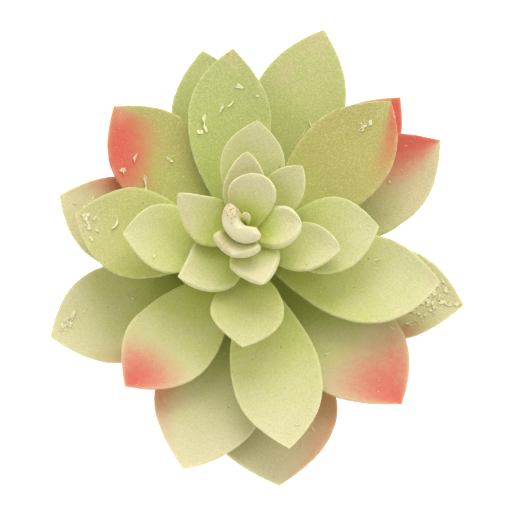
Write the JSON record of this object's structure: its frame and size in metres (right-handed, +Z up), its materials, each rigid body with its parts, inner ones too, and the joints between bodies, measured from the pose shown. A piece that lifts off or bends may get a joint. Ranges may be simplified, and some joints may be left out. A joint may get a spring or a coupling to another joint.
{
  "type": "potted succulent",
  "caption": "Rosette succulent with thick pointed spoon-shaped leaves in a spiral on a short stem, planted in soil in a small tapered clay pot.",
  "frame": {"origin": "on the surface that the pot stands on, under the middle of the plant's overall width and length, which is the pot's axis", "axes": "+Z up along the pot's axis, +Y along the rosette's longest spread, +X across it"},
  "size_m": [0.1018, 0.118, 0.0873],
  "materials": {
    "clay": "unglazed, matte",
    "soil": "rough potting mix",
    "stem": "dry, scarred",
    "leaf": "waxy satin"
  },
  "bodies": {
    "root": {"pot": "clay", "soil": "soil", "stem": "stem", "skirt_leaf_1": "leaf", "skirt_leaf_2": "leaf", "skirt_leaf_3": "leaf", "skirt_leaf_4": "leaf", "skirt_leaf_5": "leaf", "skirt_leaf_6": "leaf", "lower_leaf_1": "leaf", "lower_leaf_2": "leaf", "lower_leaf_3": "leaf", "lower_leaf_4": "leaf", "lower_leaf_5": "leaf", "lower_leaf_6": "leaf", "middle_leaf_1": "leaf", "middle_leaf_2": "leaf", "middle_leaf_3": "leaf", "middle_leaf_4": "leaf", "middle_leaf_5": "leaf", "inner_leaf_1": "leaf", "inner_leaf_2": "leaf", "inner_leaf_3": "leaf", "inner_leaf_4": "leaf", "crown_leaf_1": "leaf", "crown_leaf_2": "leaf", "crown_leaf_3": "leaf", "crown_leaf_4": "leaf", "crown_leaf_5": "leaf", "heart_leaf_1": "leaf", "heart_leaf_2": "leaf", "heart_leaf_3": "leaf", "bud_leaf_1": "leaf", "bud_leaf_2": "leaf", "bud_leaf_3": "leaf"}
  },
  "joints": []
}
